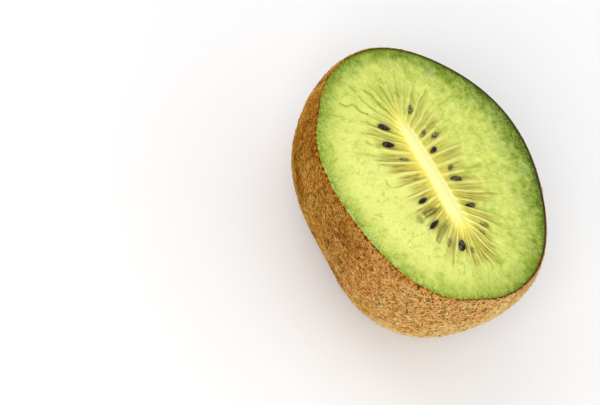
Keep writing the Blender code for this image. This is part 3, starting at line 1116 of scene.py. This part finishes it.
    def build(self) -> Piece:
        """Wrap one sheet into the flesh, from the core's middle to the pole underneath.

        Returns:
            The flesh.
        """
        columns = self.shape.chambers * self.columns_per_chamber
        rows = self.core_rows + self.face_rows + self.hidden_rows
        piece, column, row = flat_sheet("kiwi_flesh", columns, rows)
        chamber = column / self.columns_per_chamber
        chamber -= self.wall_crowding * np.sin(TAU * chamber) / TAU
        places, angle, reach = self.places(chamber, row)
        grain = cloudy(places / self.grain_length)
        on_face = rise(0.0, 0.1, reach) * (1 - rise(0.96, 1.0, reach))
        places[:, 2] += self.grain_height * grain * on_face
        piece.data.vertices.foreach_set("co", places.ravel())
        paint(piece.data, **self.flesh_patterns(angle, reach))
        paint(piece.data, **self.chamber_patterns(chamber, places, angle, reach))
        paint(piece.data, **self.mark_patterns(places))
        close_shell(piece)
        piece.data.materials.append(self.finish.material())
        return piece


@dataclass(frozen=True)
class SeedFinish:
    """Glossy seed coat, nearly black with a purple-brown cast and grey patches painted on as highlights."""

    coat: Colour = tone(24, 12, 6)
    # Painted highlight colour for the seeds' grey patches.
    grey_highlight: Colour = tone(94, 80, 66)

    def material(self) -> bpy.types.Material:
        """Build the seed coat's material."""
        graph = Graph("kiwi_seed")
        cloud = graph.noise(900, 2)
        # The base colour mixes in painted highlight: grey patches where the cloud runs high.
        graph.surface(
            base_color=graph.mix(graph.rise(cloud, 0.53, 0.66), self.coat, self.grey_highlight),
            roughness=graph.total(0.12, graph.product(cloud, 0.3)),
            normal=graph.bump(graph.noise(5200, 1), 0.3, 0.00006), specular_ior_level=0.3,
        )
        return graph.material


@dataclass
class ProudSeeds:
    """The seeds that stand out of their chambers, flattened drops with a pointed end."""

    shape: FruitShape
    finish: SeedFinish = SeedFinish()
    segments: int = 32
    rings: int = 20
    thickness: float = 0.0010
    tip_share: float = 0.45
    proud: float = 0.0005

    def template(self) -> Piece:
        """Model one seed of unit length along X, blunt at -X."""
        deselect_all()
        bpy.ops.mesh.primitive_uv_sphere_add(
            segments=self.segments, ring_count=self.rings, radius=0.5,
            rotation=(0.0, math.pi / 2, 0.0),
        )
        seed = bpy.context.object
        bpy.ops.object.transform_apply(location=False, rotation=True, scale=False)
        for vertex in seed.data.vertices:
            blunt = math.sqrt(max(0.5 - vertex.co.x, 0.0))
            taper = self.tip_share + (1 - self.tip_share) * blunt
            vertex.co.y *= taper
            vertex.co.z *= taper
        return seed

    def build(self, flesh: Piece) -> Piece:
        """Copy the template to each seed's place and join the copies.

        Args:
            flesh: The flesh that the seeds lie on.

        Returns:
            The seeds as one piece.
        """
        template = self.template()
        bed = read_places(flesh.data)
        bed = bed[bed[:, 2] > self.shape.cut_height - 2 * self.shape.chamber_depth]
        copies = []
        for seed in SEEDS:
            if seed.lie is not Lie.PROUD:
                continue
            copy = bpy.data.objects.new("seed", template.data.copy())
            bpy.context.scene.collection.objects.link(copy)
            place = np.array((seed.along, seed.across)) * MM + self.shape.shift[:2]
            near = np.linalg.norm(bed[:, :2] - place, axis=1) < seed.width * MM / 3
            height = bed[near, 2].mean() + self.proud - self.thickness / 2
            middle = Vector((*place, height))
            size = Matrix.Diagonal((seed.length * MM, seed.width * MM, self.thickness, 1.0))
            turn = Matrix.Rotation(math.radians(seed.pointing), 4, "Z")
            copy.data.transform(Matrix.Translation(middle) @ turn @ size)
            copies.append(copy)
        bpy.data.objects.remove(template, do_unlink=True)
        select_only(copies[0])
        for copy in copies:
            copy.select_set(True)
        bpy.ops.object.join()
        piece = bpy.context.object
        piece.name = "proud_seeds"
        bpy.ops.object.shade_smooth()
        piece.data.materials.append(self.finish.material())
        return piece


@dataclass(frozen=True)
class SkinFinish:
    """Matt brown skin with darker pores, rusty flecks and a paler bloom."""

    mid: Colour = tone(176, 120, 54)
    dark: Colour = tone(96, 58, 18)
    light: Colour = tone(226, 174, 106)
    rust: Colour = tone(212, 126, 50)
    pore: Colour = tone(84, 62, 20)
    torn: Colour = tone(78, 50, 16)
    moss: Colour = tone(84, 96, 16)
    speck: Colour = tone(236, 158, 44)

    def material(self) -> bpy.types.Material:
        """Build the skin's material."""
        graph = Graph("kiwi_skin")
        clouds = graph.noise(170, 3)
        flecks = graph.noise(2000, 3, 0.4)
        colour = graph.mix(graph.rise(flecks, 0.36, 0.6), self.dark, self.mid)
        layers = (
            (graph.product(graph.rise(graph.noise(760, 1.5), 0.6, 0.7), 0.6), self.pore),
            (graph.product(graph.rise(flecks, 0.55, 0.72), graph.rise(clouds, 0.35, 0.65)), self.light),
            (graph.product(graph.rise(graph.noise(900, 1), 0.6, 0.72), 0.6), self.rust),
            (graph.value("torn"), graph.mix(graph.value("mossy"), self.torn, self.moss)),
            (graph.product(graph.rise(flecks, 0.48, 0.58), graph.value("speckled")), self.speck),
        )
        for share, layer in layers:
            colour = graph.mix(share, colour, layer)
        # The base colour takes painted light and shade along the fruit.
        graph.surface(
            base_color=graph.tinted(colour), roughness=0.85, normal=graph.bump(flecks, 0.6, 0.0004),
            specular_ior_level=0.08, sheen_weight=0.04, sheen_roughness=0.5, sheen_tint=self.light,
        )
        return graph.material


@dataclass
class Skin:
    """The thin furry skin, a closed bowl with a slightly ragged cut lip."""

    shape: FruitShape
    finish: SkinFinish = SkinFinish()
    columns: int = 504
    lip_rows: int = 4
    outer_rows: int = 90
    inner_rows: int = 12
    lip: float = 0.00012
    ragged: float = 0.00009
    tatters: float = 2.6
    tears: float = 80.0
    tuck: float = 0.00006
    inner_lift: float = 1.2
    flat_rows: int = 5
    mossy_side: float = 140.0

    def places(self, angle: Rows, row: Rows) -> tuple[Rows, Rows]:
        """Find each vertex's place, and how torn the skin is there.

        Args:
            angle: Angles round the fruit.
            row: Row numbers, from the inner pole over the lip to the outer pole.

        Returns:
            The places and the share of torn skin.
        """
        shape = self.shape
        rounds = self.tears * np.column_stack((np.cos(angle), np.sin(angle), np.zeros_like(angle)))
        uneven = cloudy(rounds)
        inside = 1 - np.clip(row / self.inner_rows, 0, 1)
        inner = shape.skin_place(angle, shape.level(inside), shape.skin + self.tuck)
        inner[:, 2] += self.inner_lift * shape.low_skin * inside ** 2
        inner[inside >= 1, :2] = shape.shift[:2]

        over = np.clip((row - self.inner_rows) / self.lip_rows, 0, 1)
        inset = (shape.skin * (1 + self.tatters * np.abs(uneven)) + self.tuck) * (1 - over) ** 1.2
        lip = shape.skin_place(angle, np.full_like(angle, shape.above), inset)
        low = 1 - 0.7 * np.maximum(np.sin(angle), 0)
        lip[:, 2] += low * (self.lip + self.ragged * uneven) * np.sin(math.pi * over) ** 0.7

        down = np.clip((row - self.inner_rows - self.lip_rows) / self.outer_rows, 0, 1)
        flat_from = 1 - self.flat_rows / self.outer_rows
        level = shape.level(np.clip(down / flat_from, 0, 1))
        outer = shape.skin_place(angle, level)
        inwards = np.clip((down - flat_from) / (1 - flat_from), 0, 1)[:, None]
        outer[:, :2] += (shape.shift[:2] - outer[:, :2]) * inwards
        outer = shape.lump(outer, np.sin(math.pi * np.clip(down / flat_from, 0, 1)))

        places = np.where((over > 0)[:, None], lip, inner)
        places = np.where((down > 0)[:, None], outer, places)
        torn = np.where(down > 0, 1 - rise(0.0, 0.03, down), 1.0)
        return places, np.clip(torn * (0.75 + 0.6 * uneven), 0, 1)

    def build(self) -> Piece:
        """Wrap one sheet into the skin.

        Returns:
            The skin.
        """
        rows = self.inner_rows + self.lip_rows + self.outer_rows
        piece, column, row = flat_sheet("kiwi_skin", self.columns, rows)
        angle = TAU * column / self.columns
        places, torn = self.places(angle, row)
        piece.data.vertices.foreach_set("co", places.ravel())
        paint(
            piece.data,
            torn=torn * (0.3 + 0.65 * rise(-0.3, 0.4, np.sin(angle))),
            mossy=rise(0.2, 0.8, facing(angle, self.mossy_side)),
            speckled=torn * (0.1 + 0.9 * rise(-0.2, 0.5, -np.sin(angle + 0.35))),
        )
        close_shell(piece)
        piece.data.materials.append(self.finish.material())
        return piece


@dataclass(frozen=True)
class ScarFinish:
    """Dry corky scar, paler on its rim and dark in its hollow."""

    cork: Colour = tone(158, 108, 54)
    hollow: Colour = tone(70, 42, 14)

    def material(self) -> bpy.types.Material:
        """Build the cork's material."""
        graph = Graph("stem_scar")
        cracks = graph.noise(2600, 3, 0.8)
        graph.surface(
            base_color=graph.mix(graph.rise(cracks, 0.3, 0.7), self.hollow, self.cork),
            roughness=0.9, normal=graph.bump(cracks, 0.6, 0.0002), specular_ior_level=0.1,
        )
        return graph.material


@dataclass
class StemScar:
    """The round scar that the stalk left at the -X end, half sunk in the skin."""

    shape: FruitShape
    finish: ScarFinish = ScarFinish()
    radius: float = 0.0024
    top_share: float = 0.8
    stands: float = 0.0004
    hollow: float = 0.0004
    wall_share: float = 0.25
    button_share: float = 0.2
    button_rise: float = 0.4
    rounding: float = 0.00012
    wobble: float = 0.00012
    wobble_length: float = 0.0012
    segments: int = 48

    def build(self) -> Piece:
        """Model the scar from a cone whose top is inset and pushed in.

        Returns:
            The scar.
        """
        depth = 4 * self.stands
        deselect_all()
        bpy.ops.mesh.primitive_cone_add(
            vertices=self.segments, depth=depth, radius1=self.radius,
            radius2=self.radius * self.top_share,
        )
        piece = bpy.context.object
        piece.name = "stem_scar"
        bpy.ops.object.mode_set(mode="EDIT")
        bpy.ops.mesh.select_all(action="DESELECT")
        bpy.ops.object.mode_set(mode="OBJECT")
        top = max(piece.data.polygons, key=lambda polygon: polygon.center.z)
        top.select = True
        bpy.ops.object.mode_set(mode="EDIT")
        bpy.ops.mesh.select_mode(type="FACE")
        bpy.ops.mesh.inset(thickness=self.radius * self.top_share * self.wall_share)
        bpy.ops.transform.translate(value=(0.0, 0.0, -self.hollow))
        bpy.ops.mesh.inset(thickness=self.radius * self.button_share)
        bpy.ops.transform.translate(value=(0.0, 0.0, self.hollow * self.button_rise))
        bpy.ops.object.mode_set(mode="OBJECT")
        rounding = piece.modifiers.new("rounding", "BEVEL")
        rounding.width = self.rounding
        rounding.segments = 2
        bpy.ops.object.modifier_apply(modifier=rounding.name)
        place = Vector(self.shape.stem_end()) + Vector((depth / 2 - self.stands, 0.0, 0.0))
        turn = Matrix.Rotation(-math.pi / 2, 4, "Y")
        piece.data.transform(Matrix.Translation(place) @ turn)
        for vertex in piece.data.vertices:
            vertex.co.x += self.wobble * noise.noise(vertex.co / self.wobble_length)
        bpy.ops.object.shade_smooth_by_angle(angle=math.radians(40))
        piece.data.materials.append(self.finish.material())
        return piece


@dataclass(frozen=True)
class FuzzFinish:
    """Short dry hairs, from dark brown to straw, with a few rusty and a few olive ones."""

    dark: Colour = tone(104, 62, 20)
    mid: Colour = tone(230, 168, 92)
    straw: Colour = tone(255, 226, 172)
    rusty: Colour = tone(236, 132, 56)
    olive: Colour = tone(146, 142, 66)

    def material(self) -> bpy.types.Material:
        """Build the hairs' material from each one's tone, which also carries painted light towards +X."""
        graph = Graph("kiwi_fuzz")
        stops = ((0.0, self.dark), (0.5, self.mid), (1.0, self.straw))
        kind = graph.value("kind")
        colour = graph.ramp(graph.value("tint"), stops)
        colour = graph.mix(graph.rise(kind, 0.93, 0.95), colour, self.rusty)
        colour = graph.mix(graph.fall(kind, 0.07, 0.09), colour, self.olive)
        # The base colour takes painted light and shade along the fruit.
        graph.surface(base_color=graph.tinted(colour), roughness=0.8, specular_ior_level=0.05)
        return graph.material


@dataclass
class Fuzz:
    """The short curved hairs on the skin."""

    shape: FruitShape
    finish: FuzzFinish = FuzzFinish()
    tufts: int = 3
    hairs: int = 20000
    shortest: float = 0.0008
    longest: float = 0.0016
    thinnest: float = 0.0001
    thickest: float = 0.00018
    least_lift: float = 2.0
    most_lift: float = 11.0
    stray_lift: float = 12.0
    curl: float = 0.5
    droop: float = 0.18
    swelling: float = 1.5
    root_depth: float = 0.00003
    lowest_root: float = 0.0003
    top_gap: float = 0.0001
    over_cut: float = 0.0003
    inner_height: float = 0.02
    tint_clouds: tuple = ((0.4, 0.0011), (0.5, 0.0045))
    bare_scar: float = 0.0028
    floor_gap: float = 0.00003

    def template(self) -> tuple[Rows, list]:
        """Model one hair of unit length along Z, three-sided and cut into lengths.

        Returns:
            Its vertices and its faces.
        """
        deselect_all()
        bpy.ops.mesh.primitive_cone_add(
            vertices=3, radius1=0.5, radius2=0.0, depth=1.0, end_fill_type="NOTHING",
            location=(0.0, 0.0, 0.5),
        )
        hair = bpy.context.object
        bpy.ops.object.transform_apply(location=True, rotation=False, scale=False)
        bpy.ops.object.mode_set(mode="EDIT")
        bpy.ops.mesh.select_all(action="SELECT")
        bpy.ops.mesh.bisect(plane_co=(0.0, 0.0, 0.5), plane_no=(0.0, 0.0, 1.0))
        bpy.ops.object.mode_set(mode="OBJECT")
        places = np.array([vertex.co for vertex in hair.data.vertices])
        faces = [list(polygon.vertices) for polygon in hair.data.polygons]
        bpy.data.objects.remove(hair, do_unlink=True)
        middle = np.abs(places[:, 2] - 0.5) < 0.01
        places[middle, :2] *= self.swelling
        return places, faces

    def roots(self, skin: Piece, chance: np.random.Generator) -> tuple:
        """Scatter hair roots over the outer skin, evenly by area.

        Args:
            skin: The skin.
            chance: Source of the draws.

        Returns:
            The roots' places, with the skin's directions there: outward, level and along the slope.
        """
        mesh = skin.data
        count = len(mesh.polygons)
        normals = np.empty(count * 3)
        centres = np.empty(count * 3)
        areas = np.empty(count)
        mesh.polygons.foreach_get("normal", normals)
        mesh.polygons.foreach_get("center", centres)
        mesh.polygons.foreach_get("area", areas)
        normals = normals.reshape(-1, 3)
        centres = centres.reshape(-1, 3)
        outward = ((centres - self.shape.shift - (0, 0, self.inner_height)) * normals).sum(1) > 0
        on_flank = centres[:, 2] < self.shape.cut_height - self.top_gap
        clear = np.linalg.norm(centres - self.shape.stem_end(), axis=1) > self.bare_scar
        weights = areas * outward * on_flank * clear * (centres[:, 2] > self.lowest_root)
        chosen = chance.choice(count, self.hairs, p=weights / weights.sum())
        tangent = np.cross(normals[chosen], (0.0, 0.0, 1.0))
        tangent /= np.linalg.norm(tangent, axis=1)[:, None]
        spread = np.sqrt(areas[chosen])[:, None]
        slope = np.cross(normals[chosen], tangent)
        slide = chance.uniform(-0.5, 0.5, (self.hairs, 2))
        roots = centres[chosen] + spread * (slide[:, :1] * tangent + slide[:, 1:] * slope)
        return roots, normals[chosen], tangent, slope

    def build(self, skin: Piece, number: int) -> Piece:
        """Copy the hair all over the skin, each with its own length, lean and curl.

        Args:
            skin: The skin.
            number: Number of the tuft, which sets its draws.

        Returns:
            The hairs as one piece.
        """
        chance = np.random.default_rng(100 + number)
        places, faces = self.template()
        roots, normals, tangent, slope = self.roots(skin, chance)
        count = self.hairs
        turn = chance.uniform(0, TAU, count)[:, None]
        uphill = np.sin(turn) * slope
        near_cut = roots[:, 2:] > self.shape.cut_height - self.longest
        uphill = np.where(near_cut, -np.abs(np.sin(turn)) * np.sign(slope[:, 2:]) * slope, uphill)
        flat = np.cos(turn) * tangent + uphill
        share = chance.uniform(0, 1, count)[:, None]
        lift = np.radians(self.least_lift + self.most_lift * share + self.stray_lift * share ** 8)
        ahead = np.cos(lift) * flat + np.sin(lift) * normals
        aside = np.cross(normals, flat)
        up = np.cross(ahead, aside)
        up *= np.sign((up * normals).sum(1))[:, None]
        length = chance.uniform(self.shortest, self.longest, count)[:, None]
        thick = chance.uniform(self.thinnest, self.thickest, count)[:, None]
        sway = chance.uniform(-self.curl, self.curl, count)[:, None]

        along = places[None, :, 2:3] * length[:, None]
        bend = places[None, :, 2:3] ** 2 * length[:, None]
        points = roots[:, None] - self.root_depth * normals[:, None] + along * ahead[:, None]
        points = points + bend * (sway[:, None] * aside[:, None] - self.droop * up[:, None])
        points = points + places[None, :, 0:1] * thick[:, None] * aside[:, None]
        points = points + places[None, :, 1:2] * thick[:, None] * up[:, None]
        points = points.reshape(-1, 3)
        points[:, 2] = np.clip(points[:, 2], self.floor_gap, self.shape.cut_height + self.over_cut)
        size = len(places)
        corners = [[index * size + v for v in face] for index in range(count) for face in faces]
        piece = new_mesh_piece("fuzz_%d" % (number + 1), points, corners)
        # Each hair's tone: a random draw and clouds, plus painted light that lightens the hairs towards +X.
        tint = chance.beta(1.3, 1.1, count) + 0.2 * rise(0.005, 0.03, roots[:, 0])
        for weight, spread in self.tint_clouds:
            tint = tint + weight * cloudy(roots / spread)
        # Painted light: towards +X the hairs are drawn to a light, even tone.
        tint += 0.6 * rise(0.008, 0.027, roots[:, 0]) * (0.95 - tint)
        kind = chance.uniform(0, 1, count)
        paint(piece.data, tint=np.repeat(np.clip(tint, 0, 1), size), kind=np.repeat(kind, size))
        select_only(piece)
        bpy.ops.object.shade_smooth()
        piece.data.materials.append(self.finish.material())
        return piece


@dataclass(frozen=True)
class FloorFinish:
    """Plain white studio floor."""

    white: Colour = (0.96, 0.96, 0.96)

    def material(self) -> bpy.types.Material:
        """Build the floor's material, very slightly uneven."""
        graph = Graph("studio_floor")
        grey = tuple(share * 0.99 for share in self.white)
        graph.surface(base_color=graph.mix(graph.noise(3, 1), grey, self.white), roughness=0.9)
        return graph.material


@dataclass
class Studio:
    """Floor, soft lights and camera."""

    finish: FloorFinish = FloorFinish()
    floor_size: float = 4.0
    floor_cuts: int = 4
    camera_place: tuple = (0.11592, -0.17538, 0.27359)
    camera_turn: float = math.radians(38.57)
    camera_drop: float = math.radians(52.96)
    camera_roll: float = math.radians(32.2)
    lens: float = 96.0
    sensor: float = 36.0
    nearest: float = 0.01
    farthest: float = 20.0
    lamps: tuple = (("key", (0.7, -1.1, 1.1), 1.1, 17.0), ("fill", (-1.1, -0.3, 1.2), 1.4, 4.0))
    sky: float = 0.64

    def floor(self) -> Piece:
        """Lay the floor just under the fruit."""
        deselect_all()
        bpy.ops.mesh.primitive_plane_add(size=self.floor_size, location=(0.0, 0.0, 0.0))
        floor = bpy.context.object
        floor.name = "studio_floor"
        bpy.ops.object.mode_set(mode="EDIT")
        bpy.ops.mesh.select_all(action="SELECT")
        bpy.ops.mesh.subdivide(number_cuts=self.floor_cuts)
        bpy.ops.object.mode_set(mode="OBJECT")
        floor.data.materials.append(self.finish.material())
        return floor

    def lamp(self, name: str, place: tuple, size: float, power: float) -> None:
        """Hang a soft square lamp that faces the fruit.

        Args:
            name: Name of the lamp.
            place: Where it hangs.
            size: Side of its square.
            power: Its power in watts.
        """
        data = bpy.data.lights.new(name, "AREA")
        data.shape = "SQUARE"
        data.size = size
        data.energy = power
        lamp = bpy.data.objects.new(name, data)
        lamp.location = place
        lamp.rotation_euler = (-Vector(place)).to_track_quat("-Z", "Y").to_euler()
        bpy.context.scene.collection.objects.link(lamp)

    def camera(self) -> None:
        """Set up the camera at the photograph's viewing angle, rolled as it was."""
        data = bpy.data.cameras.new("camera")
        data.lens = self.lens
        data.sensor_fit = "HORIZONTAL"
        data.sensor_width = self.sensor
        data.clip_start = self.nearest
        data.clip_end = self.farthest
        camera = bpy.data.objects.new("camera", data)
        turn = Matrix.Rotation(self.camera_turn, 4, "Z")
        tilt = Matrix.Rotation(math.pi / 2 - self.camera_drop, 4, "X")
        roll = Matrix.Rotation(self.camera_roll, 4, "Z")
        camera.matrix_world = Matrix.Translation(self.camera_place) @ turn @ tilt @ roll
        bpy.context.scene.collection.objects.link(camera)
        bpy.context.scene.camera = camera

    def build(self) -> None:
        """Set up the whole studio."""
        self.floor()
        for lamp in self.lamps:
            self.lamp(*lamp)
        self.camera()
        world = bpy.data.worlds.new("studio")
        world.use_nodes = True
        back = world.node_tree.nodes["Background"]
        back.inputs["Color"].default_value = (1.0, 1.0, 1.0, 1.0)
        back.inputs["Strength"].default_value = self.sky
        scene = bpy.context.scene
        scene.world = world
        scene.view_settings.view_transform = "Standard"
        scene.view_settings.look = "None"
        scene.view_settings.exposure = 0.0
        scene.view_settings.gamma = 1.0


def main() -> None:
    """Build the fruit's pieces in order, then the studio."""
    logging.basicConfig(level=logging.INFO, format="%(name)s %(message)s")
    shape = FruitShape()
    flesh = Flesh(shape).build()
    declare(flesh, replaces=True)
    skin = Skin(shape).build()
    declare(skin, replaces=True)
    declare(ProudSeeds(shape).build(flesh), replaces=True)
    declare(StemScar(shape).build(), replaces=True)
    fuzz = Fuzz(shape)
    for number in range(fuzz.tufts):
        declare(fuzz.build(skin, number))
    Studio().build()


if __name__ == "__main__":
    main()
